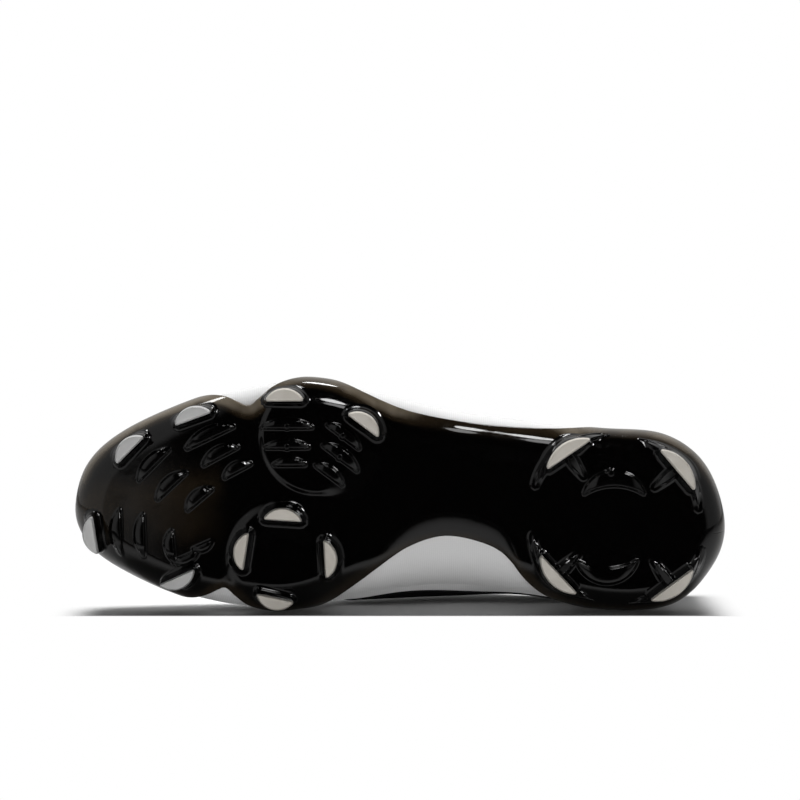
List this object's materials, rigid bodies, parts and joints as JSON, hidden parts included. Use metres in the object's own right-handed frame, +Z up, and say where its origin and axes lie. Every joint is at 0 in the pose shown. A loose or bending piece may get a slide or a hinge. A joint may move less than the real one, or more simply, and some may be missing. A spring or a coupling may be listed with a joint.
{
  "type": "baseball cleat",
  "caption": "Left low-cut baseball cleat with a moulded stud plate, textile upper, tongue, insole and lace, lying on its medial side with the sole showing.",
  "frame": {"origin": "centre of the bounding box, on the floor that the shoe lies on", "axes": "+X towards the heel, the toe to -X; the sole faces -Y and the collar opens to +Y; +Z up, towards the lateral side"},
  "size_m": [0.3004, 0.1186, 0.1076],
  "materials": {
    "stud_plate": "gloss",
    "stud_tip": "satin",
    "upper_textile": "matte",
    "tongue_textile": "matte",
    "insole_foam": "matte",
    "lace_cord": "matte"
  },
  "bodies": {
    "root": {"outsole": "stud_plate", "tip_toe_lateral_rear": "stud_tip", "tip_toe_lateral_front": "stud_tip", "tip_toe_front": "stud_tip", "tip_toe_medial": "stud_tip", "tip_ball_lateral_front": "stud_tip", "tip_ball_lateral_rear": "stud_tip", "tip_pivot_lateral": "stud_tip", "tip_pivot_front": "stud_tip", "tip_pivot_rear": "stud_tip", "tip_pivot_medial": "stud_tip", "tip_heel_lateral_front": "stud_tip", "tip_heel_lateral_rear": "stud_tip", "tip_heel_medial_front": "stud_tip", "tip_heel_medial_rear": "stud_tip", "upper": "upper_textile", "tongue": "tongue_textile", "insole": "insole_foam", "lace": "lace_cord"}
  },
  "joints": []
}
